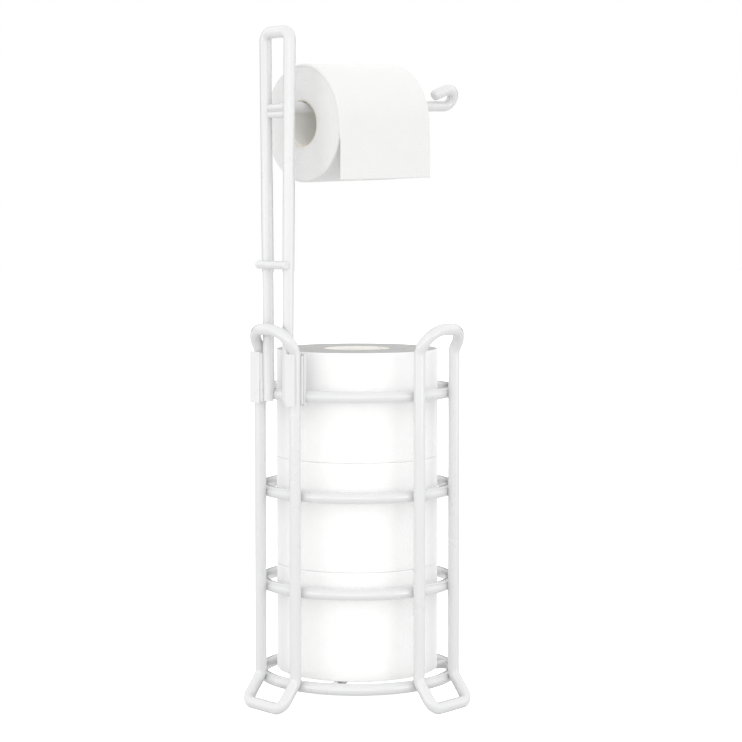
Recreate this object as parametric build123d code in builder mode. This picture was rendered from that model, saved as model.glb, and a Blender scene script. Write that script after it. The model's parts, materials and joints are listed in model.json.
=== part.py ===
from build123d import *

import math
import os

# Free-standing toilet paper stand of welded steel rod, in millimetres.
# The origin is on the floor, on the axis of the cage. +Z is up and -Y is the front.

# Rod and welds
rod_diameter = 10.7
weld_sink = 0.5
moving_clearance = 0.3
cut_overrun = 20.0

# Cage rings, which leave room round the spare rolls
roll_clearance = 7.5
top_ring_height = 289.0
upper_middle_ring_height = 197.8
lower_middle_ring_height = 109.8
bottom_ring_height = 23.3

# Base spokes, which carry the spare rolls
spoke_diameter = 8.0
first_spoke_bearing = 15.0
spoke_names = ["base_spoke_right", "base_spoke_left", "base_spoke_front"]

# Legs: closed hairpins of rod, bent outward at the foot and, on the front pair, at the top
leg_spacing = 51.0
front_leg_swing = 49.6
foot_bend_height = 28.5
foot_reach = 17.0
foot_bend_radius = 14.0
foot_corner_radius = 9.0
arch_bend_above_ring = 41.0
arch_lead = 3.5
arch_bend_share = 0.9
arch_corner_share = 0.765
arch_clearance = 1.0
rear_top_above_ring = 27.8
rear_corner_share = 0.86

# Post: a narrow hairpin that draws together downward and hangs over the top ring
post_top = 623.1
post_hang = 6.2
post_spread = 8.0
post_set_back = 1.1
post_corner_radius = 8.0

# Bar across the outer side of the post
outer_bar_diameter = 7.2
outer_bar_above_ring = 118.8
outer_bar_sink = 2.0
outer_bar_edge = 0.6

# Pair of bars between the post rods, which carry the arm
arm_bar_diameter = 6.5
upper_arm_bar_drop = 72.8

# Arm with a curl at its free end
arm_diameter = 10.0
arm_drop = 0.1
arm_slope = 2.0
arm_reach = 213.0
curl_radius = 8.5
curl_fall = 22.0
curl_tip_gap = 0.4
curl_lean = 25.0
curl_tip_edge = 3.0

# Sheet clips that hold the post to the front left leg
clip_sheet = 1.5
clip_clearance = 0.2
clip_weld_sink = 0.45
clip_hang = 8.2
clip_top_drop = 2.0
clip_inner_radius = 0.25
clip_lip_reach = 6.5

# Roll in use, hung on the arm
dispenser_roll_diameter = 107.5
dispenser_roll_width = 108.5
dispenser_roll_gap = 28.0
dispenser_core_bore = 40.5
dispenser_core_wall = 1.2
paper_fit = 0.15
paper_edge = 0.8

# Loose end of the paper
tail_thickness = 0.6
tail_drop = 52.5
tail_wrap = 40.0

# Spare rolls, stacked in the cage
spare_roll_diameter = 151.5
spare_roll_height = 100.3
spare_core_bore = 60.0
spare_core_wall = 1.5
spare_roll_names = ["bottom_spare_roll", "middle_spare_roll", "top_spare_roll"]

# Places that follow from the sizes above
rod_radius = rod_diameter / 2
ring_radius = spare_roll_diameter / 2 + roll_clearance + rod_radius
half_leg_spacing = leg_spacing / 2
leg_chord = math.sqrt((ring_radius + rod_diameter - weld_sink) ** 2 - half_leg_spacing**2)
foot_slope = foot_reach / (foot_bend_height - rod_radius)
rolls_bottom = bottom_ring_height + spoke_diameter / 2

# The bottom ring lies against the slanting part of the feet, so it is a little wider
foot_rod_out = leg_chord + (foot_bend_height - bottom_ring_height) * foot_slope
foot_rod_radius = math.hypot(foot_rod_out, half_leg_spacing)
foot_lean = math.atan(foot_slope * leg_chord / math.hypot(leg_chord, half_leg_spacing))
bottom_ring_radius = foot_rod_radius - (rod_diameter - weld_sink) / math.cos(foot_lean)

# The post rods stand against the clips, which lie against the leg rods, a little further in than these
post_out = leg_chord - post_set_back
clip_thickness = clip_clearance + clip_sheet
post_bottom = top_ring_height - post_hang
post_bottom_spacing = 2 * (half_leg_spacing - rod_diameter - clip_thickness + clip_weld_sink)
post_top_spacing = post_bottom_spacing + post_spread
post_line_top = post_top - rod_radius

os.makedirs("parts", exist_ok=True)


def write(part, name):
    part.label = name
    export_step(part, f"parts/{name}.step")


def bearing_direction(bearing):
    return Vector(math.cos(math.radians(bearing)), math.sin(math.radians(bearing)), 0)


def outward_plane(bearing):
    """Horizontal plane at the floor whose X runs outward and whose Y runs along the cage."""
    return Plane(origin=(0, 0, 0), x_dir=bearing_direction(bearing), z_dir=(0, 0, 1))


def bar(name, centre, direction, diameter, length, edge=0):
    """Straight piece of rod about its centre."""
    with BuildPart() as piece:
        with BuildSketch(Plane(origin=centre, z_dir=direction)):
            Circle(diameter / 2)
        extrude(amount=length / 2, both=True)
        if edge:
            fillet(piece.edges().filter_by(GeomType.CIRCLE), edge)
    write(piece.part, name)


# Rings
rings = {
    "top_ring": (ring_radius, top_ring_height),
    "upper_middle_ring": (ring_radius, upper_middle_ring_height),
    "lower_middle_ring": (ring_radius, lower_middle_ring_height),
    "bottom_ring": (bottom_ring_radius, bottom_ring_height),
}
for name, (radius, height) in rings.items():
    with BuildPart() as ring:
        with BuildSketch(Plane.XZ):
            with Locations((radius, height)):
                Circle(rod_radius)
        revolve(axis=Axis.Z)
    write(ring.part, name)

# Base spokes, mitred where they meet on the axis
spoke_length = bottom_ring_radius - rod_radius + weld_sink
spoke_step = 360 / len(spoke_names)
for index, name in enumerate(spoke_names):
    spoke_bearing = first_spoke_bearing + index * spoke_step
    spoke_start = (0, 0, bottom_ring_height)
    with BuildPart() as spoke:
        with BuildSketch(Plane(origin=spoke_start, z_dir=bearing_direction(spoke_bearing))):
            Circle(spoke_diameter / 2)
        extrude(amount=spoke_length)
        for turn in (90 - spoke_step / 2, spoke_step / 2 - 90):
            split(bisect_by=Plane(origin=spoke_start, z_dir=bearing_direction(spoke_bearing + turn)))
    write(spoke.part, name)


def leg(name, bearing, upper_points, upper_radii):
    """Half of the hairpin, swept from the middle of its top to the middle of its foot, then mirrored."""
    frame = outward_plane(bearing)
    foot_points = [
        (leg_chord, half_leg_spacing, foot_bend_height),
        (leg_chord + foot_reach, half_leg_spacing, rod_radius),
        (leg_chord + foot_reach, 0, rod_radius),
    ]
    radii = [*upper_radii, foot_bend_radius, foot_corner_radius]
    with BuildPart() as piece:
        with BuildLine(frame) as half:
            FilletPolyline(*upper_points, *foot_points, radius=radii)
        with BuildSketch(Plane(origin=half.line @ 0, z_dir=half.line % 0)):
            Circle(rod_radius)
        sweep()
        mirror(about=Plane(origin=(0, 0, 0), x_dir=frame.x_dir, z_dir=frame.y_dir))
    write(piece.part, name)


def half_post_spacing(height):
    rise_share = (height - post_bottom) / (post_line_top - post_bottom)
    return (post_bottom_spacing + post_spread * rise_share) / 2


# Front legs, whose arched tops lean outward just enough to pass the post rods
arch_bend_height = top_ring_height + arch_bend_above_ring
arch_corner_radius = half_leg_spacing * arch_corner_share
arch_corner_cut = arch_corner_radius * (1 - math.sin(math.radians(45)))
arch_rise = arch_corner_radius + arch_lead
post_to_arch = half_leg_spacing - arch_corner_cut - half_post_spacing(arch_bend_height + arch_rise)
arch_pass = math.sqrt((rod_diameter + arch_clearance) ** 2 - post_to_arch**2) - post_set_back
arch_tilt = math.asin(arch_pass / (arch_rise - arch_corner_cut))
arch_bend_radius = arch_lead * arch_bend_share / math.tan(arch_tilt / 2)
arch_out = leg_chord + arch_rise * math.sin(arch_tilt)
arch_top = arch_bend_height + arch_rise * math.cos(arch_tilt)
front_points = [
    (arch_out, 0, arch_top),
    (arch_out, half_leg_spacing, arch_top),
    (leg_chord, half_leg_spacing, arch_bend_height),
]
front_left_bearing = 270 - front_leg_swing
front_right_bearing = 270 + front_leg_swing
leg("front_left_leg", front_left_bearing, front_points, [arch_corner_radius, arch_bend_radius])
leg("front_right_leg", front_right_bearing, front_points, [arch_corner_radius, arch_bend_radius])

# Rear leg, which stays upright and ends below the front arches
rear_top = top_ring_height + rear_top_above_ring - rod_radius
rear_points = [
    (leg_chord, 0, rear_top),
    (leg_chord, half_leg_spacing, rear_top),
]
leg("rear_leg", 90, rear_points, [half_leg_spacing * rear_corner_share])

# The post stands in the plane of the front left leg, between its rods
post_frame = outward_plane(front_left_bearing)
outward = post_frame.x_dir
along = post_frame.y_dir


def on_post(out, side, height):
    """Point given by its distance outward, its distance along the cage and its height."""
    return outward * out + along * side + Vector(0, 0, height)


# Section of the slot, open downward, that lets a piece sit over the top ring
slot_radius = rod_radius + moving_clearance
with BuildSketch(Plane.XZ) as ring_slot:
    with Locations((ring_radius, top_ring_height)):
        Circle(slot_radius)
    with Locations((ring_radius, top_ring_height - cut_overrun / 2)):
        Rectangle(2 * slot_radius, cut_overrun)

with BuildPart() as post:
    with BuildLine(post_frame) as post_line:
        FilletPolyline(
            (post_out, -post_bottom_spacing / 2, post_bottom),
            (post_out, -post_top_spacing / 2, post_line_top),
            (post_out, post_top_spacing / 2, post_line_top),
            (post_out, post_bottom_spacing / 2, post_bottom),
            radius=post_corner_radius,
        )
    with BuildSketch(Plane(origin=post_line.line @ 0, z_dir=post_line.line % 0)):
        Circle(rod_radius)
    sweep()
    revolve(ring_slot.sketch, axis=Axis.Z, mode=Mode.SUBTRACT)
write(post.part, "post_hairpin")

# Bar across the outer side of the post, flush with the outer sides of its rods
outer_bar_height = top_ring_height + outer_bar_above_ring
outer_bar_out = post_out + rod_radius + outer_bar_diameter / 2 - outer_bar_sink
outer_bar_length = 2 * (half_post_spacing(outer_bar_height) + rod_radius)
outer_bar_centre = on_post(outer_bar_out, 0, outer_bar_height)
bar("post_outer_bar", outer_bar_centre, along, outer_bar_diameter, outer_bar_length, outer_bar_edge)

# Bars between the post rods, one on the other
upper_arm_bar_height = post_top - upper_arm_bar_drop
arm_bar_heights = {
    "arm_upper_bar": upper_arm_bar_height,
    "arm_lower_bar": upper_arm_bar_height - arm_bar_diameter,
}
for name, height in arm_bar_heights.items():
    bar_length = 2 * (half_post_spacing(height) - rod_radius + weld_sink)
    bar(name, on_post(post_out, 0, height), along, arm_bar_diameter, bar_length)

# Arm, which runs inward over the axis of the cage and rises a little
arm_root = on_post(post_out, 0, upper_arm_bar_height - arm_drop)
slope = math.radians(arm_slope)
arm_direction = outward * -math.cos(slope) + Vector(0, 0, math.sin(slope))
arm_up = outward * math.sin(slope) + Vector(0, 0, math.cos(slope))
lean = math.radians(curl_lean)
curl_up = arm_up * math.cos(lean) + along * math.sin(lean)
arm_plane = Plane(origin=arm_root, x_dir=arm_direction, z_dir=arm_direction.cross(curl_up))
arm_start = arm_bar_diameter / 2 - weld_sink
curl_centre = arm_reach - curl_radius
fall = math.radians(curl_fall)
curl_end_x = curl_centre - curl_radius * math.sin(fall)
curl_end_y = curl_radius + curl_radius * math.cos(fall)
curl_tip_y = arm_diameter + curl_tip_gap
curl_tip_x = curl_end_x - (curl_end_y - curl_tip_y) / math.tan(fall)
with BuildPart() as arm:
    with BuildLine(arm_plane) as arm_line:
        Line((arm_start, 0), (curl_centre, 0))
        CenterArc((curl_centre, curl_radius), curl_radius, -90, 180 + curl_fall)
        Line((curl_end_x, curl_end_y), (curl_tip_x, curl_tip_y))
    with BuildSketch(Plane(origin=arm_line.line @ 0, z_dir=arm_line.line % 0)):
        Circle(arm_diameter / 2)
    sweep()
    tip_edge = arm.edges().filter_by(GeomType.CIRCLE).sort_by_distance(arm_line.line @ 1)[0]
    fillet(tip_edge, curl_tip_edge)
write(arm.part, "dispenser_arm")


clip_bottom = top_ring_height - clip_hang
clip_top = arch_bend_height - clip_top_drop


def clip(name, side):
    """Bent sheet channel, open away from the post, round one rod of the leg."""
    half_gap = rod_radius + clip_thickness - clip_sheet / 2
    web_side = half_leg_spacing - half_gap
    lip_side = half_leg_spacing + clip_lip_reach
    with BuildPart() as piece:
        with BuildSketch(post_frame.offset(clip_bottom)):
            with BuildLine():
                FilletPolyline(
                    (leg_chord + half_gap, side * lip_side),
                    (leg_chord + half_gap, side * web_side),
                    (leg_chord - half_gap, side * web_side),
                    (leg_chord - half_gap, side * lip_side),
                    radius=clip_inner_radius + clip_sheet / 2,
                )
            trace(line_width=clip_sheet)
        extrude(amount=clip_top - clip_bottom)
        revolve(ring_slot.sketch, axis=Axis.Z, mode=Mode.SUBTRACT)
    write(piece.part, name)


clip("left_clip", -1)
clip("right_clip", 1)


def sleeve(name, plane, outer_diameter, bore, length, edge=0):
    """Hollow cylinder, for a cardboard core or for the paper wound on it."""
    with BuildPart() as piece:
        with BuildSketch(plane):
            Circle(outer_diameter / 2)
            Circle(bore / 2, mode=Mode.SUBTRACT)
        extrude(amount=length)
        if edge:
            rims = piece.edges().filter_by(GeomType.CIRCLE).group_by(SortBy.RADIUS)[-1]
            fillet(rims, edge)
    write(piece.part, name)


# Roll in use: its core hangs on the arm, so its axis lies below the arm's
roll_drop = dispenser_core_bore / 2 - arm_diameter / 2 - moving_clearance
roll_far_end = arm_root + arm_direction * (dispenser_roll_gap + dispenser_roll_width) - arm_up * roll_drop
roll_plane = Plane(origin=roll_far_end, x_dir=along, z_dir=-arm_direction)
dispenser_core_diameter = dispenser_core_bore + 2 * dispenser_core_wall
dispenser_paper_bore = dispenser_core_diameter + 2 * paper_fit
sleeve(
    "dispenser_roll_core",
    roll_plane,
    dispenser_core_diameter,
    dispenser_core_bore,
    dispenser_roll_width,
)
sleeve(
    "dispenser_roll_paper",
    roll_plane,
    dispenser_roll_diameter,
    dispenser_paper_bore,
    dispenser_roll_width,
    paper_edge,
)

# Loose end: it lies on the roll, leaves it at the height of the axis and hangs down
tail_radius = dispenser_roll_diameter / 2 + tail_thickness / 2
with BuildPart() as tail:
    with BuildSketch(roll_plane):
        with BuildLine():
            CenterArc((0, 0), tail_radius, 0, tail_wrap)
            Line((tail_radius, 0), (tail_radius, -tail_drop))
        trace(line_width=tail_thickness)
    extrude(amount=dispenser_roll_width)
write(tail.part, "paper_tail")

# Spare rolls, one on the other
spare_core_diameter = spare_core_bore + 2 * spare_core_wall
for index, name in enumerate(spare_roll_names):
    spare_plane = Plane.XY.offset(rolls_bottom + index * spare_roll_height)
    sleeve(f"{name}_core", spare_plane, spare_core_diameter, spare_core_bore, spare_roll_height)
    sleeve(
        f"{name}_paper",
        spare_plane,
        spare_roll_diameter,
        spare_core_diameter + 2 * paper_fit,
        spare_roll_height,
        paper_edge,
    )
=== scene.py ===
"""Free-standing toilet paper stand: finishes, welds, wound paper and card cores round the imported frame."""

import json
import math
from collections import namedtuple

import bmesh
import bpy
from bpy.props import FloatProperty, FloatVectorProperty, PointerProperty
from mathutils import Euler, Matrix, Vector, noise


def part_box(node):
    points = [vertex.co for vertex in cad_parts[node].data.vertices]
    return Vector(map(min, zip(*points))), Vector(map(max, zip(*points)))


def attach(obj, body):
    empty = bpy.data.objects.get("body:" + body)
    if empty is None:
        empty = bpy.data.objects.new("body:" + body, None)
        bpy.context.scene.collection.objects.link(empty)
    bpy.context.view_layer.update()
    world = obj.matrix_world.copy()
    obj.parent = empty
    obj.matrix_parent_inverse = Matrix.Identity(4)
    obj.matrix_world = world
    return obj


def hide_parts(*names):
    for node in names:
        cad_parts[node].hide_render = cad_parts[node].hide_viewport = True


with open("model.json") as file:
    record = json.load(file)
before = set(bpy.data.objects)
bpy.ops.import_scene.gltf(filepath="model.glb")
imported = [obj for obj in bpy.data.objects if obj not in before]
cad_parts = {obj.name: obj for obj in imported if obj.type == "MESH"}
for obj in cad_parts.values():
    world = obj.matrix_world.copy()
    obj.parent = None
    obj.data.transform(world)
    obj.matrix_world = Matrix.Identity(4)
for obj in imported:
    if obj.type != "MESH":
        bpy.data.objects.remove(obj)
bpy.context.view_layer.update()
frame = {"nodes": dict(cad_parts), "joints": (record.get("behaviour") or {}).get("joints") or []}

bl_info = {
    "name": "Toilet paper stand",
    "version": (1, 0, 0),
    "blender": (4, 5, 0),
    "location": "View3D > Sidebar > Paper stand",
    "description": "Builds the finishes and the soft pieces of a free-standing toilet paper stand",
    "category": "Object",
}

# Nodes of the frame

# Direction of each leg round the cage, in degrees
LEG_BEARINGS = {"front_left_leg": 220.4, "front_right_leg": 319.6, "rear_leg": 90.0}
LEGS = tuple(LEG_BEARINGS)
RINGS = ("top_ring", "upper_middle_ring", "lower_middle_ring")
SPOKES = ("base_spoke_right", "base_spoke_left", "base_spoke_front")
# Spare rolls, each with the body that its core and its paper ride on
SPARE_ROLLS = {
    "bottom_spare_roll": "stand",
    "middle_spare_roll": "stand",
    "top_spare_roll": "top_spare_roll",
}
CLIPS = ("left_clip", "right_clip")
ROD_NODES = LEGS + RINGS + SPOKES + (
    "bottom_ring", "post_hairpin", "post_outer_bar", "arm_upper_bar", "arm_lower_bar", "dispenser_arm",
)

# Directions of the roll in use

UP = Vector((0, 0, 1))
roll_joint = next(j for j in frame["joints"] if j["name"] == "roll_spin")
roll_axis = Vector(roll_joint["axis"]).normalized()
roll_centre = Vector(roll_joint["pos_m"])
roll_side = roll_axis.cross(UP).normalized()
roll_up = roll_side.cross(roll_axis)

# Detail of the meshes

ROLL_COLUMNS = 144
ROLL_RIM_STEPS = 5
ROLL_SIDE_ROWS = 16
CORE_COLUMNS = 112
CORE_ROWS = 24
BEAD_COLUMNS = 40
BEAD_ROWS = 5
TAIL_ARC_ROWS = 40
TAIL_DROP_ROWS = 36
TAIL_RIM_STEPS = 6
TAIL_MIDDLE_STEPS = 76

# Fine sizes of the paper and the cores, with the seam's start in turns and the wrap in radians

CORE_GAP = 0.00015
END_SWELL = 0.0004
TAIL_WRAP = math.radians(100)
TAIL_WAVE = 0.0006
TEAR = 0.0004
TEAR_WAVE = 0.0005
LAYER_BUMP = 0.00035
SEAM_BREADTH = 0.0007
SEAM_DEPTH = 0.0003
SEAM_START = 8.62

# Camera, as fitted to the photo

PHOTO_WIDTH_PX = 742
FOCAL_LENGTH_PX = 2192
SENSOR_WIDTH_MM = 36

# Sizes of the studio

FLOOR_REACH = 14.0
LAMP_TARGET = Vector((0, 0, 0.2))
# Lamps, each with the setting that holds its power, its place, its width and its height
LAMPS = {
    "left_strip": ("left_power", Vector((-2.0, -1.3, 0.1)), 1.4, 1.0),
    "right_strip": ("right_power", Vector((2.0, -1.4, 0.1)), 1.0, 1.0),
    "front_panel": ("front_power", Vector((-0.2, -2.6, 0.3)), 2.4, 1.6),
}


# Settings

def number(name, description, default, **kind):
    return FloatProperty(name=name, description=description, default=default, **kind)


def length(name, description, default):
    return number(name, description, default, unit="LENGTH", precision=5)


def share(name, description, default):
    return number(name, description, default, min=0, max=1, subtype="FACTOR")


def power(name, description, default):
    return number(name, description, default, unit="POWER")


def triple(name, description, default, **kind):
    return FloatVectorProperty(name=name, description=description, default=default, size=3, **kind)


def colour(name, description, default):
    return triple(name, description, default, min=0, max=1, subtype="COLOR")


class SteelSettings(bpy.types.PropertyGroup):
    coat: colour("Coat colour", "Colour of the powder coat", (0.71, 0.71, 0.715))
    # Painted light: the clips get a lighter copy of the rods' white coat.
    clip_coat_painted_light: colour("Clip coat colour", "Colour of the coat on the clips", (0.77, 0.77, 0.775))
    rub_colour: colour("Rub colour", "Colour of the coat where the floor rubs it", (0.52, 0.52, 0.53))
    rub_height: length("Rub height", "How far up the feet the floor rubs them", 0.0014)
    roughness: share("Coat roughness", "Roughness of the powder coat", 0.28)
    gloss: share("Gloss", "Strength of the coat's clear skin", 1.0)
    gloss_roughness: share("Gloss roughness", "Roughness of the clear skin", 0.12)
    gloss_index: number("Gloss index", "Refractive index of the clear skin", 1.6)
    peel_size: length("Peel size", "Distance between the coat's ripples", 0.0016)
    peel_height: length("Peel height", "Height of the coat's ripples", 0.000012)
    rod_radius: length("Rod radius", "Radius of the main rod", 0.00535)
    bead_reach: length("Bead reach", "How far a weld bead spreads over the rods", 0.0016)
    clip_edge: length("Clip edge", "Rounding of the edges of the sheet clips", 0.0003)
    seam_width: length("Seam width", "Half the weld between the arm's two bars", 0.0021)
    web_gap: length("Web gap", "From the side of a leg's rod to the far face of its clip", 0.0017)


class PaperSettings(bpy.types.PropertyGroup):
    sheet: colour("Sheet colour", "Colour of the outer sheet of a spare roll", (0.935, 0.935, 0.93))
    # Painted shade: the ends of a spare roll get a far darker colour than its sheet, which stands in for
    # shade on the roll tops; only a little of it is the ends' own darker tone.
    ends: colour("End colour", "Colour of the ends of a spare roll", (0.47, 0.47, 0.465))
    # Painted shade: the roll in use gets a darker copy of the same paper as the spare sheet.
    sheet_in_use_painted_shade: colour("Used sheet colour", "Colour of the roll in use's outer sheet", (0.77, 0.77, 0.765))
    # Painted shade: the ends of the roll in use are also darker than the paper's own colour.
    ends_in_use_painted_shade: colour("Used end colour", "Colour of the ends of the roll in use", (0.82, 0.82, 0.815))
    layer_pitch: length("Layer pitch", "Distance between the layers at the ends", 0.0012)
    layer_depth: length("Layer depth", "Depth of the layers at the ends", 0.00010)
    spare_rim: length("Spare rim", "Rounding at the ends of a spare roll", 0.0007)
    used_rim: length("Used rim", "Rounding at the ends of the roll in use", 0.0020)
    dent: length("Dent", "Depth of the dents in the side of a roll", 0.00012)
    emboss_size: length("Emboss size", "Distance between the pressed dots", 0.0026)
    emboss_height: length("Emboss height", "Depth of the pressed dots", 0.00007)
    roll_radius: length("Roll radius", "Radius of the roll in use", 0.05375)
    roll_width: length("Roll width", "Width of the roll in use", 0.1085)
    tail_thickness: length("Loose end thickness", "Thickness of the loose end", 0.00035)
    tail_drop: length("Loose end drop", "Length that hangs below the roll's axis", 0.0525)


class CardSettings(bpy.types.PropertyGroup):
    liner: colour("Liner colour", "Colour of the inner side of the cores", (0.97, 0.955, 0.92))
    kraft: colour("Kraft colour", "Colour of the cut edge of the core in use", (0.78, 0.73, 0.60))
    pale: colour("Pale colour", "Colour of the cut edge of the spare cores", (0.84, 0.80, 0.70))
    bore_radius: length("Bore radius", "Radius of the bore of the core in use", 0.02025)
    wall: length("Wall", "Thickness of the core in use", 0.0012)
    spare_wall: length("Spare wall", "Thickness of a spare core", 0.0015)
    seam_lead: length("Seam lead", "How far the spiral seam moves in one turn", 0.066)


class StudioSettings(bpy.types.PropertyGroup):
    camera_place: triple(
        "Camera place", "Where the camera stands", (-0.0039426, -2.053663, 0.4584872),
        subtype="TRANSLATION", unit="LENGTH",
    )
    camera_pitch: number("Camera pitch", "How far the camera looks down", 0.0637, subtype="ANGLE")
    camera_turn: number("Camera turn", "How far the camera is turned", -0.0083, subtype="ANGLE")
    focal_length: number(
        "Focal length", "Focal length in millimetres", FOCAL_LENGTH_PX / PHOTO_WIDTH_PX * SENSOR_WIDTH_MM,
        subtype="DISTANCE_CAMERA",
    )
    rise: number("Rise", "Vertical shift of the frame", -0.03)
    left_power: power("Left power", "Power of the left light", 5.5)
    right_power: power("Right power", "Power of the right light", 5.5)
    front_power: power("Front power", "Power of the front light", 7.5)
    sky: share("Sky", "Brightness of the surroundings", 1.0)
    level_sky: number("Level sky", "Light from all round at the stand's height", 1.06)
    top_sky: number("Top sky", "Light from straight above", 0.80)
    front_sky: number("Front sky", "Light from the front", 1.34)
    back_sky: number("Back sky", "Light from low down behind the stand", 0.05)
    floor_tone: share("Floor tone", "The floor's colour as the camera sees it", 0.95)
    floor_bounce: share("Floor bounce", "Share of the light that the floor throws back", 0.5)
    floor_fill: share("Floor fill", "Light that the floor itself gives", 0.28)
    floor_glow: share("Floor glow", "Light of the floor as the camera sees it", 0.8)


# Shader nodes

def add_node(tree, kind, **settings):
    made = tree.nodes.new(kind)
    for name, value in settings.items():
        setattr(made, name, value)
    return made


def feed(tree, target, source):
    """Sets a socket to a value, or links another socket to it."""
    if isinstance(source, bpy.types.NodeSocket):
        tree.links.new(source, target)
    else:
        target.default_value = source


def math_node(tree, operation, *values):
    made = add_node(tree, "ShaderNodeMath", operation=operation)
    for socket, value in zip(made.inputs, values):
        feed(tree, socket, value)
    return made.outputs[0]


def product(tree, first, second):
    return math_node(tree, "MULTIPLY", first, second)


def blend_colours(tree, factor, first, second):
    made = add_node(tree, "ShaderNodeMix", data_type="RGBA")
    feed(tree, made.inputs["Factor"], factor)
    feed(tree, made.inputs["A"], first)
    feed(tree, made.inputs["B"], second)
    return made.outputs["Result"]


def ramp(tree, value, low, high, to_low=0.0, to_high=1.0):
    made = add_node(tree, "ShaderNodeMapRange", interpolation_type="SMOOTHSTEP")
    feed(tree, made.inputs["Value"], value)
    feed(tree, made.inputs["From Min"], low)
    feed(tree, made.inputs["From Max"], high)
    feed(tree, made.inputs["To Min"], to_low)
    feed(tree, made.inputs["To Max"], to_high)
    return made.outputs["Result"]


def grain(tree, vector, scale, detail=2.0, roughness=0.5):
    made = add_node(tree, "ShaderNodeTexNoise")
    feed(tree, made.inputs["Vector"], vector)
    feed(tree, made.inputs["Scale"], scale)
    feed(tree, made.inputs["Detail"], detail)
    feed(tree, made.inputs["Roughness"], roughness)
    return made.outputs["Fac"]


def fill_mottling(tree, given, result):
    """Slow change of tone over a surface, as a colour and as the mask behind it."""
    scale = math_node(tree, "DIVIDE", 1.0, given["Size"])
    mask = grain(tree, given["Vector"], scale, detail=4.0, roughness=0.6)
    spread = product(tree, math_node(tree, "SUBTRACT", mask, 0.5), given["Strength"])
    bright = math_node(tree, "ADD", 1.0, product(tree, spread, 2.0))
    toned = add_node(tree, "ShaderNodeVectorMath", operation="SCALE")
    feed(tree, toned.inputs[0], given["Colour"])
    feed(tree, toned.inputs["Scale"], bright)
    feed(tree, result["Colour"], toned.outputs[0])
    feed(tree, result["Mask"], mask)


def fill_ripples(tree, given, result):
    """Fine ripples of a coat, or the fibres of paper and card, as a height in metres."""
    fine = grain(tree, given["Vector"], math_node(tree, "DIVIDE", 1.0, given["Size"]))
    feed(tree, result["Height"], product(tree, fine, given["Height"]))


def fill_pressed_dots(tree, given, result):
    """Staggered rows of pressed dots on the unrolled sheet, as a height in metres."""
    parts = add_node(tree, "ShaderNodeSeparateXYZ")
    feed(tree, parts.inputs[0], given["Vector"])
    waves = []
    for operation in ("ADD", "SUBTRACT"):
        slanted = math_node(tree, operation, parts.outputs["X"], parts.outputs["Y"])
        turns = math_node(tree, "DIVIDE", product(tree, slanted, math.pi), given["Size"])
        waves.append(math_node(tree, "SINE", turns))
    dots = math_node(tree, "ABSOLUTE", product(tree, *waves))
    pressed = ramp(tree, dots, low=0.35, high=0.95)
    feed(tree, result["Height"], product(tree, pressed, given["Height"]))


def fill_spiral_seam(tree, given, result):
    """Butt seam of a spirally wound core on its unrolled wall: a mask that is 1 in the seam."""
    turns = math_node(tree, "DIVIDE", given["Along"], given["Lead"])
    behind = math_node(tree, "SUBTRACT", turns, given["Turn"])
    strip = math_node(tree, "FRACT", math_node(tree, "ADD", behind, given["Start"]))
    from_seam = product(tree, strip, given["Lead"])
    feed(tree, result["Mask"], ramp(tree, from_seam, low=given["Breadth"], high=0.0))


VECTOR, COLOUR, VALUE = "NodeSocketVector", "NodeSocketColor", "NodeSocketFloat"
RELIEF = {"Vector": VECTOR, "Size": VALUE, "Height": VALUE}
# Node groups, each with the function that fills it, its inputs and its outputs
GROUPS = {
    "mottling": (
        fill_mottling,
        {"Vector": VECTOR, "Colour": COLOUR, "Size": VALUE, "Strength": VALUE},
        {"Colour": COLOUR, "Mask": VALUE},
    ),
    "ripples": (fill_ripples, RELIEF, {"Height": VALUE}),
    "pressed_dots": (fill_pressed_dots, RELIEF, {"Height": VALUE}),
    "spiral_seam": (
        fill_spiral_seam,
        {"Turn": VALUE, "Along": VALUE, "Lead": VALUE, "Start": VALUE, "Breadth": VALUE},
        {"Mask": VALUE},
    ),
}


def shader_group(name):
    """Node group, built once."""
    if name in bpy.data.node_groups:
        return bpy.data.node_groups[name]
    fill, inputs, outputs = GROUPS[name]
    tree = bpy.data.node_groups.new(name, "ShaderNodeTree")
    for direction, sockets in (("INPUT", inputs), ("OUTPUT", outputs)):
        for socket, kind in sockets.items():
            tree.interface.new_socket(name=socket, in_out=direction, socket_type=kind)
    source = tree.nodes.new("NodeGroupInput")
    target = tree.nodes.new("NodeGroupOutput")
    fill(tree, source.outputs, target.inputs)
    return tree


def use_group(tree, group, **values):
    """Adds a node group with all its inputs, given by their names in small letters."""
    made = add_node(tree, "ShaderNodeGroup", node_tree=shader_group(group))
    for name, value in values.items():
        feed(tree, made.inputs[name.capitalize()], value)
    return made.outputs


def new_material(name, roughness, specular=0.5, sheen=0.0):
    made = bpy.data.materials.new(name)
    made.use_nodes = True
    surface = next(n for n in made.node_tree.nodes if n.type == "BSDF_PRINCIPLED")
    surface.inputs["Roughness"].default_value = roughness
    surface.inputs["Specular IOR Level"].default_value = specular
    surface.inputs["Sheen Weight"].default_value = sheen
    return made, made.node_tree, surface


def raise_by(tree, surface, height):
    """Turns a height in metres into the surface's normal."""
    bump = add_node(tree, "ShaderNodeBump")
    bump.inputs["Strength"].default_value = 1.0
    bump.inputs["Distance"].default_value = 1.0
    feed(tree, bump.inputs["Height"], height)
    feed(tree, surface.inputs["Normal"], bump.outputs["Normal"])


def solid(base, shade=1.0):
    """Colour with full alpha, darkened by a shade under 1."""
    return (*(shade * c for c in base), 1.0)


def grey(value):
    return (value, value, value, 1.0)


# Materials

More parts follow.
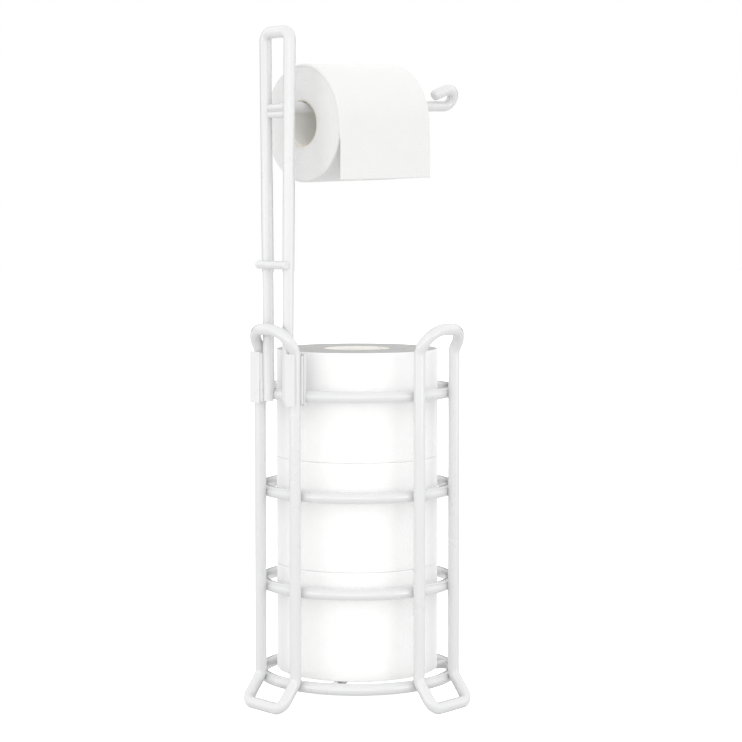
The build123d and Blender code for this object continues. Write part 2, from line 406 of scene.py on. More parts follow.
def powder_coat(name, base):
    """Satin powder coat: fine ripples, a slow change of tone, and a slight rub under the feet."""
    if name in bpy.data.materials:
        return bpy.data.materials[name]
    steel = bpy.context.scene.stand_steel
    made, tree, surface = new_material(name, steel.roughness)
    surface.inputs["Coat Weight"].default_value = steel.gloss
    surface.inputs["Coat Roughness"].default_value = steel.gloss_roughness
    surface.inputs["Coat IOR"].default_value = steel.gloss_index
    place = add_node(tree, "ShaderNodeTexCoord").outputs["Object"]
    tone = use_group(tree, "mottling", vector=place, colour=solid(base), size=0.06, strength=0.004)
    height = add_node(tree, "ShaderNodeSeparateXYZ")
    feed(tree, height.inputs[0], place)
    near_floor = ramp(tree, height.outputs["Z"], low=steel.rub_height, high=0.0)
    patches = ramp(tree, grain(tree, place, scale=420.0, detail=4.0), low=0.42, high=0.6)
    rub = product(tree, near_floor, patches)
    rubbed = blend_colours(tree, rub, tone["Colour"], solid(steel.rub_colour))
    feed(tree, surface.inputs["Base Color"], rubbed)
    roughness_spread = 0.06
    spread = product(tree, math_node(tree, "SUBTRACT", tone["Mask"], 0.5), roughness_spread)
    feed(tree, surface.inputs["Roughness"], math_node(tree, "ADD", steel.roughness, spread))
    ripples = use_group(tree, "ripples", vector=place, size=steel.peel_size, height=steel.peel_height)
    raise_by(tree, surface, ripples["Height"])
    return made


def rod_coat():
    return powder_coat("white_powder_coat", bpy.context.scene.stand_steel.coat)


# Lighter copy of the rods' coat: painted light on the clips.
def clip_coat_painted_light():
    return powder_coat("white_coat_on_sheet", bpy.context.scene.stand_steel.clip_coat_painted_light)


def soft_sheet(name, base):
    """Outer sheet of the paper, with pressed dots and fibres. The UV map is the unrolled sheet in metres."""
    if name in bpy.data.materials:
        return bpy.data.materials[name]
    paper = bpy.context.scene.stand_paper
    made, tree, surface = new_material(name, roughness=0.92, specular=0.15, sheen=0.7)
    flat = add_node(tree, "ShaderNodeTexCoord").outputs["UV"]
    tone = use_group(tree, "mottling", vector=flat, colour=solid(base), size=0.012, strength=0.012)
    feed(tree, surface.inputs["Base Color"], tone["Colour"])
    dots = use_group(tree, "pressed_dots", vector=flat, size=paper.emboss_size, height=paper.emboss_height)
    fibres = use_group(tree, "ripples", vector=flat, size=0.0007, height=0.00005)
    raise_by(tree, surface, math_node(tree, "ADD", dots["Height"], fibres["Height"]))
    return made


def layer_ends(name, base):
    """Cut edges of the wound layers. The UV map runs round the roll in X and outward in Y, in metres."""
    if name in bpy.data.materials:
        return bpy.data.materials[name]
    paper = bpy.context.scene.stand_paper
    made, tree, surface = new_material(name, roughness=0.95, specular=0.1, sheen=0.3)
    flat = add_node(tree, "ShaderNodeTexCoord").outputs["UV"]
    stretched = add_node(tree, "ShaderNodeVectorMath", operation="MULTIPLY")
    feed(tree, stretched.inputs[0], flat)
    drawn_out, fineness = (0.02, 1, 1), 2.2
    feed(tree, stretched.inputs[1], drawn_out)
    layers = grain(tree, stretched.outputs[0], 1 / paper.layer_pitch * fineness, detail=3.0, roughness=0.7)
    tone = use_group(tree, "mottling", vector=flat, colour=solid(base), size=0.02, strength=0.02)
    # Painted shade: the colour darkens along the grooves between the layers.
    shade = ramp(tree, layers, low=0.62, high=0.34, to_high=0.5)
    dark = solid(base, shade=0.9)
    feed(tree, surface.inputs["Base Color"], blend_colours(tree, shade, tone["Colour"], dark))
    fibres = use_group(tree, "ripples", vector=flat, size=0.0006, height=0.00012)
    deep = product(tree, layers, LAYER_BUMP)
    raise_by(tree, surface, math_node(tree, "ADD", deep, fibres["Height"]))
    return made


def spare_materials():
    paper = bpy.context.scene.stand_paper
    # The ends take the darker colour: painted shade.
    return [soft_sheet("soft_paper_sheet", paper.sheet), layer_ends("wound_paper_ends", paper.ends)]


# Darker copies of the paper for the roll in use and its loose end: painted shade.
def used_materials():
    paper = bpy.context.scene.stand_paper
    return [
        soft_sheet("soft_paper_in_use", paper.sheet_in_use_painted_shade),
        layer_ends("wound_paper_ends_in_use", paper.ends_in_use_painted_shade),
    ]


def card(name, base, roughness, seam_shade):
    """Card of the cores. The UV map has the turn in X and the place along the core in metres in Y."""
    if name in bpy.data.materials:
        return bpy.data.materials[name]
    made, tree, surface = new_material(name, roughness, specular=0.25)
    coordinates = add_node(tree, "ShaderNodeTexCoord")
    flat = add_node(tree, "ShaderNodeSeparateXYZ")
    feed(tree, flat.inputs[0], coordinates.outputs["UV"])
    place = coordinates.outputs["Object"]
    turn, along = flat.outputs["X"], flat.outputs["Y"]
    lead = bpy.context.scene.stand_card.seam_lead
    seam = use_group(
        tree, "spiral_seam", turn=turn, along=along, lead=lead, start=SEAM_START, breadth=SEAM_BREADTH,
    )
    tone = use_group(tree, "mottling", vector=place, colour=solid(base), size=0.004, strength=0.05)
    dark = solid(base, seam_shade)
    feed(tree, surface.inputs["Base Color"], blend_colours(tree, seam["Mask"], tone["Colour"], dark))
    fibres = use_group(tree, "ripples", vector=place, size=0.0009, height=0.00008)
    sunk = product(tree, seam["Mask"], -SEAM_DEPTH)
    raise_by(tree, surface, math_node(tree, "ADD", sunk, fibres["Height"]))
    return made


def card_liner():
    return card("card_liner", bpy.context.scene.stand_card.liner, roughness=0.75, seam_shade=0.78)


def kraft_edge():
    return card("kraft_card_edge", bpy.context.scene.stand_card.kraft, roughness=0.9, seam_shade=0.8)


def pale_edge():
    return card("pale_card_edge", bpy.context.scene.stand_card.pale, roughness=0.9, seam_shade=0.9)


# Meshes

def new_piece(name, vertices, faces, materials, body, stands_for=(), face_materials=None, uvs=None):
    """Mesh object that rides on a body. uvs holds one pair for each corner of each face."""
    mesh = bpy.data.meshes.new(name)
    mesh.from_pydata([tuple(v) for v in vertices], [], faces)
    for material in materials:
        mesh.materials.append(material)
    if face_materials:
        mesh.polygons.foreach_set("material_index", face_materials)
    if uvs:
        layer = mesh.uv_layers.new(name="unrolled")
        layer.data.foreach_set("uv", [c for pair in uvs for c in pair])
    mesh.polygons.foreach_set("use_smooth", [True] * len(mesh.polygons))
    mesh.update()
    piece = bpy.data.objects.new(name, mesh)
    bpy.context.scene.collection.objects.link(piece)
    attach(piece, body)
    if stands_for:
        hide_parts(*stands_for)
    return piece


def ring_faces(rows, columns, closed_rows=False):
    """Quads of a grid that closes on itself along its columns. Yields (face, row, column)."""
    for row in range(rows if closed_rows else rows - 1):
        here, after = row * columns, (row + 1) % rows * columns
        for column in range(columns):
            beside = (column + 1) % columns
            yield (here + column, here + beside, after + beside, after + column), row, column


def corners_of(row, column):
    """Row and column of each corner of a quad, in the order of its face."""
    return (row, column), (row, column + 1), (row + 1, column + 1), (row + 1, column)


def run_along(points):
    """Distance along a line of points, at each one of them."""
    run = [0.0]
    for first, second in zip(points, points[1:]):
        run.append(run[-1] + math.dist(first, second))
    return run


# Rolls

# Paper of one roll. Its place turns a distance along the axis, a radius and a turn into a point.
Roll = namedtuple("Roll", "name node body place radius bore width rim seed materials")


def upright_place(low):
    """Place in an upright roll that stands at a height."""
    def place(along, radius, turn):
        angle = math.tau * turn
        return Vector((radius * math.cos(angle), radius * math.sin(angle), low + along))
    return place


def hung_place(half_width):
    """Place in the roll in use, counted from its end at the post."""
    def place(along, radius, turn):
        angle = math.tau * turn
        across = roll_side * math.cos(angle) - roll_up * math.sin(angle)
        return roll_centre + roll_axis * (along - half_width) + across * radius
    return place


def roll_noise(point, turn, swing, seed):
    """Noise at a point, which closes on itself round a roll and differs from roll to roll."""
    round_trip = Vector((math.cos(math.tau * turn), math.sin(math.tau * turn), 0))
    shift = Vector((seed * 7.3, seed * 3.1, seed * 1.7))
    return noise.noise(Vector(point) + round_trip * swing + shift)


def dent_depth(along, turn, seed):
    """How far the side of a wound roll is dented in at one place."""
    dents_per_metre = 28
    dent = roll_noise((0, 0, along * dents_per_metre), turn, swing=1.6, seed=seed)
    return bpy.context.scene.stand_paper.dent * (1 + dent)


def end_depth(roll, along, radius, turn):
    """How far the wound layers lie below the end of a roll, less at its rim and its bore."""
    paper = bpy.context.scene.stand_paper
    swells_outward, swells_along = 70, 90
    swell_point = (radius * swells_outward, 0, along * swells_along)
    layer = roll_noise((radius / paper.layer_pitch, 0, 0), turn, swing=0.35, seed=roll.seed)
    swell = roll_noise(swell_point, turn, swing=0.8, seed=roll.seed)
    at_rim = min(1.0, (roll.radius - radius) / (4 * roll.rim))
    at_bore = min(1.0, (radius - roll.bore) / (2 * roll.rim))
    return (paper.layer_depth * (1 + layer) + END_SWELL * (1 + swell)) * max(0.0, at_rim * at_bore)


def roll_profile(roll):
    """Section of the paper from its bore at one end to its bore at the other, as (along, radius, kind)."""
    radius, bore, width, rim = roll.radius, roll.bore, roll.width, roll.rim
    rows_apart = 0.45 * bpy.context.scene.stand_paper.layer_pitch
    face_rows = max(4, round((radius - rim - bore) / rows_apart))
    profile = [(0.0, bore + (radius - rim - bore) * k / face_rows, "end") for k in range(face_rows + 1)]
    for k in range(1, ROLL_RIM_STEPS):
        angle = math.pi / 2 * k / ROLL_RIM_STEPS
        profile.append((rim * (1 - math.cos(angle)), radius - rim * (1 - math.sin(angle)), "side"))
    first_end = list(profile)
    for k in range(ROLL_SIDE_ROWS + 1):
        profile.append((rim + (width - 2 * rim) * k / ROLL_SIDE_ROWS, radius, "side"))
    return profile + [(width - along, r, kind) for along, r, kind in reversed(first_end)]


def roll_vertex(roll, along, radius, kind, turn):
    if kind == "side":
        return roll.place(along, radius - dent_depth(along, turn, roll.seed), turn)
    deep = end_depth(roll, along, radius, turn)
    return roll.place(along + (deep if along < roll.width / 2 else -deep), radius, turn)


def wound_paper(roll):
    """Wound roll: uneven layers at both ends, soft rims and a slightly dented side, as one closed skin."""
    profile = roll_profile(roll)
    vertices = []
    for point in profile:
        vertices += [roll_vertex(roll, *point, column / ROLL_COLUMNS) for column in range(ROLL_COLUMNS)]
    closed = profile + profile[:1]
    run = run_along([(along, radius) for along, radius, _ in closed])
    faces, uvs, kinds = [], [], []
    for face, row, column in ring_faces(len(profile), ROLL_COLUMNS, closed_rows=True):
        faces.append(face)
        kinds.append(1 if closed[row][2] == closed[row + 1][2] == "end" else 0)
        for corner_row, corner in corners_of(row, column):
            uvs.append((math.tau * roll.radius * corner / ROLL_COLUMNS, run[corner_row]))
    new_piece(roll.name, vertices, faces, roll.materials, roll.body, [roll.node], kinds, uvs)


def card_core(name, node, body, place, bore, wall, width, edge_card):
    """Spirally wound core: a light liner inside and plain card at the cut ends and outside."""
    edge = wall * 0.25
    profile = [(edge + (width - 2 * edge) * k / CORE_ROWS, bore) for k in range(CORE_ROWS + 1)]
    profile += [(width, bore + edge), (width, bore + wall - edge), (width - edge, bore + wall)]
    profile += [(edge, bore + wall), (0.0, bore + wall - edge), (0.0, bore + edge)]
    vertices = []
    for along, radius in profile:
        vertices += [place(along, radius, column / CORE_COLUMNS) for column in range(CORE_COLUMNS)]
    faces, uvs, kinds = [], [], []
    for face, row, column in ring_faces(len(profile), CORE_COLUMNS, closed_rows=True):
        faces.append(face[::-1])
        kinds.append(0 if row < CORE_ROWS else 1)
        for corner_row, corner in reversed(corners_of(row, column)):
            uvs.append((corner / CORE_COLUMNS, profile[corner_row % len(profile)][0]))
    new_piece(name, vertices, faces, [card_liner(), edge_card], body, [node], kinds, uvs)


# Loose end of the paper

def tail_path(paper):
    """Side view of the loose end, across and up from the roll's axis: round the roll, then down."""
    start_taper = 6
    path = []
    for k in range(TAIL_ARC_ROWS + 1):
        angle = TAIL_WRAP * (1 - k / TAIL_ARC_ROWS)
        distance = paper.roll_radius + paper.tail_thickness * min(1.0, start_taper * k / TAIL_ARC_ROWS)
        path.append((math.cos(angle) * distance, math.sin(angle) * distance))
    for k in range(1, TAIL_DROP_ROWS + 1):
        path.append((paper.roll_radius + paper.tail_thickness, -paper.tail_drop * (k / TAIL_DROP_ROWS)))
    return path


def tail_shares(paper):
    """Places of the columns across the sheet, from 0 to 1, closer together over the roll's rims."""
    rim_share = paper.used_rim / paper.roll_width
    rim = [rim_share * (1 - math.cos(math.pi / 2 * k / TAIL_RIM_STEPS)) for k in range(TAIL_RIM_STEPS)]
    between = [rim[-1] + (1 - 2 * rim[-1]) * k / TAIL_MIDDLE_STEPS for k in range(1, TAIL_MIDDLE_STEPS)]
    return rim + between + [1 - s for s in reversed(rim)]


def tail_vertex(paper, row, across, rise, column, share_across):
    """Point of the sheet: drawn in over the roll's rims, slightly wavy where it hangs, torn at its end."""
    waves_across, waves_down, teeth_waves, rim_fade = 2.2, 1.3, 9, 3
    hanging = max(0.0, (row - TAIL_ARC_ROWS) / TAIL_DROP_ROWS)
    rim_hold = max(0.0, 1 - hanging * rim_fade)
    bent = max(0.0, paper.used_rim - min(share_across, 1 - share_across) * paper.roll_width)
    sunk = (paper.used_rim - math.sqrt(paper.used_rim**2 - bent**2)) * rim_hold
    plumb_shift = hanging * (paper.tail_drop * roll_axis.z)
    where = roll_centre + roll_axis * ((share_across - 0.5) * paper.roll_width - plumb_shift)
    if hanging == 0:
        return where + (roll_side * across + roll_up * rise) * (1 - sunk / paper.roll_radius)
    slow = noise.noise(Vector((share_across * waves_across, hanging * waves_down, 4.2)))
    if hanging == 1:
        uneven = noise.noise(Vector((share_across * teeth_waves, 1.3, 0)))
        rise += TEAR * (column % 2) + TEAR_WAVE * uneven
    return where + roll_side * (across - sunk + slow * TAIL_WAVE * hanging) + roll_up * rise


def loose_end(paper):
    """Single sheet from the path and the columns. Returns its piece and its flat length."""
    path, shares = tail_path(paper), tail_shares(paper)
    run = run_along(path)
    vertices, faces, uvs = [], [], []
    for row, (across, rise) in enumerate(path):
        vertices += [tail_vertex(paper, row, across, rise, *column) for column in enumerate(shares)]
    for row in range(len(path) - 1):
        for column in range(len(shares) - 1):
            corners = corners_of(row, column)
            faces.append(tuple(r * len(shares) + c for r, c in corners))
            uvs += [(shares[c] * paper.roll_width, run[r]) for r, c in corners]
    # The loose end takes the darker copy of the sheet: painted shade.
    tail = new_piece(
        "loose_paper_end", vertices, faces, used_materials()[:1], "dispenser_paper", ["paper_tail"],
        uvs=uvs,
    )
    return tail, run[-1]


# Weld beads

def frame_across(direction, hint):
    """Two unit vectors square to a direction, the first one nearest to the hint."""
    first = (hint - direction * hint.dot(direction)).normalized()
    return first, direction.cross(first).normalized()


def unevenness(angle, strength, waves, shift):
    """Factor near 1 that changes slowly round a bead."""
    where = Vector((math.cos(angle) * waves, math.sin(angle) * waves, shift))
    return 1 + strength * noise.noise(where)


def sag(radius, offset):
    """How far a rod's surface drops away at a distance from its highest line."""
    return radius - math.sqrt(max(0.0, radius**2 - offset**2))


def end_caps(rows, columns):
    """Faces that close the first and the last row of a grid."""
    return [tuple(reversed(range(columns))), tuple(rows * columns + column for column in range(columns))]


def bead_skin(point):
    """Closed skin of a bead. The function turns a share of the bead's height and an angle into a point."""
    vertices = []
    for row in range(BEAD_ROWS + 1):
        for column in range(BEAD_COLUMNS):
            vertices.append(point(row / BEAD_ROWS, math.tau * column / BEAD_COLUMNS))
    faces = [face for face, _, _ in ring_faces(BEAD_ROWS + 1, BEAD_COLUMNS)]
    return vertices, faces + end_caps(BEAD_ROWS, BEAD_COLUMNS)


def crossing_bead(contact, outward, inner_rod, outer_rod, radius, reach, seed):
    """Weld metal between two rods of one radius that touch where they cross."""
    waist, flare, overlap = 1.55, 0.5, 0.00008
    inner_side = inner_rod.cross(outward).normalized()
    outer_side = outer_rod.cross(outward).normalized()
    first, second = frame_across(outward, inner_rod)

    def point(part, angle):
        uneven = unevenness(angle, strength=0.12, waves=1.7, shift=seed * 2.3)
        spread = reach * uneven * (waist + flare * (2 * part - 1) ** 2)
        offset = (first * math.cos(angle) + second * math.sin(angle)) * spread
        low = -sag(radius, offset.dot(inner_side)) - overlap
        high = sag(radius, offset.dot(outer_side)) + overlap
        return contact + offset + outward * (low + (high - low) * part)
    return bead_skin(point)


def butt_bead(meeting, direction, radius, big_axis, big_radius, reach, seed):
    """Collar of weld metal where a rod that runs along direction ends square on a larger rod's side."""
    overlap = 0.00006
    first, second = frame_across(direction, big_axis)
    across = big_axis.cross(direction).normalized()

    def point(part, angle):
        spoke = first * math.cos(angle) + second * math.sin(angle)
        size = reach * unevenness(angle, strength=0.16, waves=1.9, shift=seed * 1.9)
        outer = radius - overlap + (1 - math.sin(math.pi / 2 * part)) * size
        foot = big_radius - sag(big_radius, outer * spoke.dot(across))
        lift = (1 - math.cos(math.pi / 2 * part)) * size
        return meeting + spoke * outer - direction * (foot - overlap + lift)
    vertices, faces = bead_skin(point)
    # The rows run against direction here, so the faces turn over to look outward.
    return vertices, [face[::-1] for face in faces]


def seam_strip(section, start, direction, run, seed):
    """Strip of weld metal along a straight seam, a little uneven. Its section is a closed loop of points."""
    row_length, strength, waves_per_metre = 0.0012, 0.03, 260
    rows = max(6, round(run / row_length))
    vertices = []
    for row in range(rows + 1):
        along = run * row / rows
        for index, corner in enumerate(section):
            swell = noise.noise(Vector((along * waves_per_metre, index * 0.6, seed * 1.3)))
            vertices.append(start + corner * (1 + strength * swell) + direction * along)
    faces = [face for face, _, _ in ring_faces(rows + 1, len(section))]
    return vertices, faces + end_caps(rows, len(section))


def bead_piece(name, skins):
    """Joins skins into one piece, with all faces outward and only the end caps flat."""
    vertices, faces = [], []
    for skin_vertices, skin_faces in skins:
        start = len(vertices)
        vertices += skin_vertices
        faces += [tuple(start + index for index in face) for face in skin_faces]
    piece = new_piece(name, vertices, faces, [rod_coat()], "stand")
    skin = bmesh.new()
    skin.from_mesh(piece.data)
    bmesh.ops.recalc_face_normals(skin, faces=skin.faces)
    for face in skin.faces:
        face.smooth = len(face.verts) == 4
    skin.to_mesh(piece.data)
    skin.free()


def middle(node):
    low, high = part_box(node)
    return (low + high) / 2


def leg_rods(node):
    """Outward direction, direction along the cage, distance out and half spacing of a leg's two rods."""
    rod = bpy.context.scene.stand_steel.rod_radius
    bearing = math.radians(LEG_BEARINGS[node])
    outward = Vector((math.cos(bearing), math.sin(bearing), 0))
    low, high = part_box("rear_leg")
    return outward, UP.cross(outward), low.y + rod, high.x - rod


def cage_skins(rod, reach):
    """Beads where each rod of each leg crosses the three upper rings."""
    skins = []
    for leg_index, leg in enumerate(LEGS):
        outward, along, out, half_spacing = leg_rods(leg)
        for side in (-1, 1):
            rod_line = outward * out + along * half_spacing * side
            towards = rod_line.normalized()
            tangent = UP.cross(towards)
            for ring_index, ring in enumerate(RINGS):
                ring_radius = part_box(ring)[1].x - rod
                halfway = ring_radius + (rod_line.length - ring_radius) / 2
                contact = towards * halfway + UP * middle(ring).z
                seed = leg_index * 10 + ring_index * 3 + side
                skins.append(crossing_bead(contact, towards, tangent, UP, rod, reach, seed))
    return skins


def base_skins(rod, reach):
    """Collars where the spokes end on the bottom ring."""
    skins = []
    first_seed = 40
    ring_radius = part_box("bottom_ring")[1].x - rod
    for index, spoke in enumerate(SPOKES):
        line = middle(spoke)
        direction = Vector((line.x, line.y, 0)).normalized()
        meeting = direction * ring_radius + UP * middle("bottom_ring").z
        low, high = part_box(spoke)
        spoke_radius = (high.z - low.z) / 2
        tangent = UP.cross(direction)
        skins.append(butt_bead(meeting, direction, spoke_radius, tangent, rod, reach, first_seed + index))
    return skins


def arm_bar_seam(half_width):
    """Weld metal that fills both grooves between the two bars that carry the arm."""
    upper, lower = middle("arm_upper_bar"), middle("arm_lower_bar")
    low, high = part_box("arm_upper_bar")
    bar_radius = (upper.z - lower.z) / 2
    outward, along, _, _ = leg_rods("front_left_leg")
    overlap, steps, seed = 0.00005, 6, 7
    section = []
    for sign in (1, -1):
        for k in range(steps + 1):
            out = sign * half_width * (2 * k / steps - 1)
            section.append(outward * out + UP * sign * (sag(bar_radius, out) + overlap))
    half_run = math.hypot(high.x - low.x, high.y - low.y) / 2 - bar_radius
    start = (upper + lower) / 2 - along * half_run
    return seam_strip(section, start, along, 2 * half_run, seed)


def outer_clip_seam(side, web_gap):
    """Weld metal outside a clip, in the corner between its web and the post's rod."""
    outward, along, out, half_spacing = leg_rods("front_left_leg")
    rod = bpy.context.scene.stand_steel.rod_radius
    low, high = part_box("left_clip")
    post = middle("post_hairpin")
    post_out = math.hypot(post.x, post.y)
    web = half_spacing - rod - web_gap
    web_overlap, rod_overlap, inset, post_lean = 0.0002, 0.00045, 0.001, 0.0117
    lip_out, lip_side = 0.0009, 0.0001
    hollow_out, hollow_side = -0.0006, -0.0013
    corners = [
        (post_out, web + web_overlap),
        (out + rod + lip_out, web + lip_side),
        (out + rod + hollow_out, web + hollow_side),
    ]
    for degrees in (68, 45, 20):
        angle = math.radians(degrees)
        corners.append((post_out + rod * math.sin(angle), web - rod + rod_overlap + rod * math.cos(angle)))
    section = [outward * (o - out) + along * side * (s - web) for o, s in corners]
    start = outward * out + along * side * web + UP * (low.z + inset)
    lean = (UP + along * side * post_lean).normalized()
    return seam_strip(section, start, lean, high.z - low.z - 2 * inset, seed=11 + side)


def inner_clip_seam(side):
    """Weld metal inside a clip, in the corner between its plate and the leg's rod."""
    outward, along, out, half_spacing = leg_rods("front_left_leg")
    rod = bpy.context.scene.stand_steel.rod_radius
    low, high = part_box("left_clip")
    plate_overlap, fill, low_inset, high_inset = 0.0003, 0.0010, 0.0012, 0.0014
    corners = [(-rod - plate_overlap, rod + fill), (-rod - plate_overlap, fill)]
    corners += [(-rod * math.cos(a), rod * math.sin(a)) for a in (0.17, 0.5, 0.85, 1.15)]
    section = [outward * o + along * side * s for o, s in corners]
    start = outward * out + along * side * half_spacing + UP * (low.z + low_inset)
    return seam_strip(section, start, UP, high.z - low.z - low_inset - high_inset, seed=15 + side)


# Studio

def pale_floor(studio):
    """Plain floor. It glows where the camera sees it, so that it comes out white as in the photo."""
    material, tree, surface = new_material("pale_floor", roughness=0.9, specular=0.1)
    seen = add_node(tree, "ShaderNodeLightPath").outputs["Is Camera Ray"]
    tone = blend_colours(tree, seen, grey(studio.floor_bounce), grey(studio.floor_tone))
    glow = blend_colours(tree, seen, grey(studio.floor_fill), grey(studio.floor_glow))
    feed(tree, surface.inputs["Base Color"], tone)
    feed(tree, surface.inputs["Emission Color"], glow)
    surface.inputs["Emission Strength"].default_value = 1.0
    skin = bpy.data.meshes.new("floor")
    corners = [(x * FLOOR_REACH, y * FLOOR_REACH, 0) for x, y in ((-1, -1), (1, -1), (1, 1), (-1, 1))]
    skin.from_pydata(corners, [], [(0, 1, 2, 3)])
    skin.materials.append(material)
    floor = bpy.data.objects.new("floor", skin)
    bpy.context.scene.collection.objects.link(floor)


def background(tree, strength):
    """Plain white surroundings of one strength."""
    made = add_node(tree, "ShaderNodeBackground")
    feed(tree, made.inputs["Color"], grey(1.0))
    feed(tree, made.inputs["Strength"], strength)
    return made.outputs[0]


def surroundings(studio):
    """Light from all round, darker low down behind the stand, and plain white where the camera sees it."""
    world = bpy.data.worlds.new("studio")
    bpy.context.scene.world = world
    world.use_nodes = True
    tree = world.node_tree
    tree.nodes.clear()
    parts = add_node(tree, "ShaderNodeSeparateXYZ")
    feed(tree, parts.inputs[0], add_node(tree, "ShaderNodeTexCoord").outputs["Generated"])
    up, back = parts.outputs["Z"], parts.outputs["Y"]
    height = ramp(tree, up, low=-0.1, high=0.9, to_low=studio.level_sky, to_high=studio.top_sky)
    back_slope = 1.2
    low_back = math_node(tree, "SUBTRACT", back, product(tree, up, back_slope))
    front = ramp(tree, low_back, low=0.9, high=0.0, to_low=studio.back_sky, to_high=studio.front_sky)
    strength = product(tree, product(tree, height, front), studio.sky)
    pick = add_node(tree, "ShaderNodeMixShader")
    feed(tree, pick.inputs[0], add_node(tree, "ShaderNodeLightPath").outputs["Is Camera Ray"])
    feed(tree, pick.inputs[1], background(tree, strength))
    feed(tree, pick.inputs[2], background(tree, 1.0))
    feed(tree, add_node(tree, "ShaderNodeOutputWorld").inputs["Surface"], pick.outputs[0])


def lamps(studio):
    for name, (setting, place, width, height) in LAMPS.items():
        lamp = bpy.data.lights.new(name, "AREA")
        lamp.shape = "RECTANGLE"
        lamp.size = width
        lamp.size_y = height
        lamp.energy = getattr(studio, setting)
        light = bpy.data.objects.new(name, lamp)
        light.location = place
        light.rotation_euler = (LAMP_TARGET - place).to_track_quat("-Z", "Y").to_euler()
        bpy.context.scene.collection.objects.link(light)


def camera(studio):
    lens = bpy.data.cameras.new("camera")
    lens.sensor_width = SENSOR_WIDTH_MM
    lens.lens = studio.focal_length
    lens.shift_y = studio.rise
    lens.clip_start = 0.05
    lens.clip_end = 60
    made = bpy.data.objects.new("camera", lens)
    made.location = studio.camera_place
    made.rotation_euler = Euler((math.pi / 2 - studio.camera_pitch, 0, studio.camera_turn))
    bpy.context.scene.collection.objects.link(made)
    bpy.context.scene.camera = made


# Operators

class PieceOperator:
    """What the operators share."""
    bl_options = {"REGISTER", "UNDO"}


class STAND_OT_coat_rods(PieceOperator, bpy.types.Operator):
    """Gives the rods of the cage, the post and the arm their white powder coat"""
    bl_idname = "paper_stand.coat_rods"
    bl_label = "Coat rods"

    def execute(self, context):
        for node in ROD_NODES:
            mesh = frame["nodes"][node].data
            mesh.materials.clear()
            mesh.materials.append(rod_coat())
        return {"FINISHED"}


class STAND_OT_sheet_clips(PieceOperator, bpy.types.Operator):
    """Builds the bent sheet clips with rounded edges"""
    bl_idname = "paper_stand.sheet_clips"
    bl_label = "Sheet clips"

    def execute(self, context):
        for node in CLIPS:
            skin = bmesh.new()
            skin.from_mesh(frame["nodes"][node].data)
            bmesh.ops.remove_doubles(skin, verts=skin.verts, dist=0.00001)
            bmesh.ops.dissolve_limit(skin, angle_limit=math.radians(1), verts=skin.verts, edges=skin.edges)
            vertices = [v.co.copy() for v in skin.verts]
            faces = [tuple(v.index for v in f.verts) for f in skin.faces]
            skin.free()
            # The clips take the lighter copy of the coat: painted light.
            coats = [clip_coat_painted_light()]
            piece = new_piece(f"{node}_sheet", vertices, faces, coats, "stand", [node])
            soften = piece.modifiers.new("rounded edges", "BEVEL")
            soften.width = context.scene.stand_steel.clip_edge
            soften.segments = 2
            soften.limit_method = "ANGLE"
            soften.angle_limit = math.radians(40)
            soften.harden_normals = True
        return {"FINISHED"}


class STAND_OT_weld_beads(PieceOperator, bpy.types.Operator):
    """Adds the small weld beads where the rods meet"""
    bl_idname = "paper_stand.weld_beads"
    bl_label = "Weld beads"

    def execute(self, context):
        steel = context.scene.stand_steel
        bead_piece("cage_weld_beads", cage_skins(steel.rod_radius, steel.bead_reach))
        bead_piece("base_weld_beads", base_skins(steel.rod_radius, steel.bead_reach))
        bead_piece("arm_weld_seam", [arm_bar_seam(steel.seam_width)])
        clip_skins = []
        for side in (-1, 1):
            clip_skins += [outer_clip_seam(side, steel.web_gap), inner_clip_seam(side)]
        bead_piece("clip_weld_seams", clip_skins)
        return {"FINISHED"}


class STAND_OT_card_cores(PieceOperator, bpy.types.Operator):
    """Builds the spirally wound card cores"""
    bl_idname = "paper_stand.card_cores"
    bl_label = "Card cores"

    def execute(self, context):
        cores = context.scene.stand_card
        paper = context.scene.stand_paper
        for roll, body in SPARE_ROLLS.items():
            low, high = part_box(f"{roll}_core")
            card_core(
                f"{roll}_card", f"{roll}_core", body, upright_place(low.z), bore=high.x - cores.spare_wall,
                wall=cores.spare_wall, width=high.z - low.z, edge_card=pale_edge(),
            )
        card_core(
            "dispenser_roll_card", "dispenser_roll_core", "dispenser_core", hung_place(paper.roll_width / 2),
            bore=cores.bore_radius, wall=cores.wall, width=paper.roll_width, edge_card=kraft_edge(),
        )
        return {"FINISHED"}


class STAND_OT_spare_paper(PieceOperator, bpy.types.Operator):
    """Builds the wound paper of the spare rolls"""
    bl_idname = "paper_stand.spare_paper"
    bl_label = "Spare rolls"

    def execute(self, context):
        paper = context.scene.stand_paper
        for index, (roll, body) in enumerate(SPARE_ROLLS.items()):
            low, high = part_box(f"{roll}_paper")
            wound_paper(Roll(
                f"{roll}_winding", f"{roll}_paper", body, upright_place(low.z), radius=high.x,
                bore=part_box(f"{roll}_core")[1].x + CORE_GAP, width=high.z - low.z, rim=paper.spare_rim,
                seed=index, materials=spare_materials(),
            ))
        return {"FINISHED"}


class STAND_OT_roll_in_use(PieceOperator, bpy.types.Operator):
    """Builds the wound paper of the roll on the arm"""
    bl_idname = "paper_stand.roll_in_use"
    bl_label = "Roll in use"

    def execute(self, context):
        paper = context.scene.stand_paper
        cores = context.scene.stand_card
        # The roll in use takes the darker copies of the paper: painted shade.
        wound_paper(Roll(
            "dispenser_roll_winding", "dispenser_roll_paper", "dispenser_paper",
            hung_place(paper.roll_width / 2), radius=paper.roll_radius,
            bore=cores.bore_radius + cores.wall + CORE_GAP, width=paper.roll_width,
            rim=paper.used_rim, seed=5, materials=used_materials(),
        ))
        return {"FINISHED"}


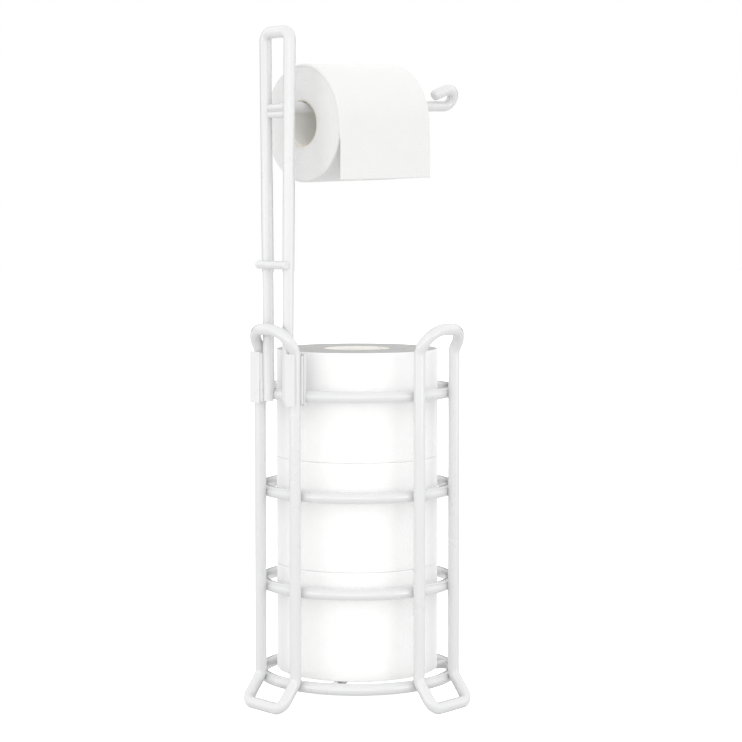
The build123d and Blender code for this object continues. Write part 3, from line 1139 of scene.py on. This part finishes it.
class STAND_OT_loose_end(PieceOperator, bpy.types.Operator):
    """Builds the loose end of the paper, which lies on the roll and hangs down in front"""
    bl_idname = "paper_stand.loose_end"
    bl_label = "Loose end"

    def execute(self, context):
        paper = context.scene.stand_paper
        tail, run = loose_end(paper)
        body = tail.modifiers.new("thickness", "SOLIDIFY")
        body.thickness = paper.tail_thickness
        body.offset = -1
        return {"FINISHED"}


class STAND_OT_studio(PieceOperator, bpy.types.Operator):
    """Adds the pale floor, the soft lights and the camera"""
    bl_idname = "paper_stand.studio"
    bl_label = "Studio"

    def execute(self, context):
        context.scene.view_settings.view_transform = "Standard"
        for build in (pale_floor, surroundings, lamps, camera):
            build(context.scene.stand_studio)
        return {"FINISHED"}


STEPS = (
    STAND_OT_studio,
    STAND_OT_coat_rods,
    STAND_OT_weld_beads,
    STAND_OT_sheet_clips,
    STAND_OT_card_cores,
    STAND_OT_spare_paper,
    STAND_OT_roll_in_use,
    STAND_OT_loose_end,
)
SETTINGS = {
    "stand_steel": SteelSettings,
    "stand_paper": PaperSettings,
    "stand_card": CardSettings,
    "stand_studio": StudioSettings,
}


class STAND_PT_panel(bpy.types.Panel):
    """Sidebar panel with the sizes, the colours and the steps"""
    bl_idname = "STAND_PT_panel"
    bl_label = "Paper stand"
    bl_space_type = "VIEW_3D"
    bl_region_type = "UI"
    bl_category = "Paper stand"

    def draw(self, context):
        for name, group in SETTINGS.items():
            box = self.layout.box()
            for value in group.__annotations__:
                box.prop(getattr(context.scene, name), value)
        for step in STEPS:
            self.layout.operator(step.bl_idname)


CLASSES = tuple(SETTINGS.values()) + STEPS + (STAND_PT_panel,)


def register():
    for made in CLASSES:
        bpy.utils.register_class(made)
    for name, group in SETTINGS.items():
        setattr(bpy.types.Scene, name, PointerProperty(type=group))


def unregister():
    for name in SETTINGS:
        delattr(bpy.types.Scene, name)
    for made in reversed(CLASSES):
        bpy.utils.unregister_class(made)


def main():
    register()
    for step in STEPS:
        group, name = step.bl_idname.split(".")
        getattr(getattr(bpy.ops, group), name)()


if __name__ == "__main__":
    main()
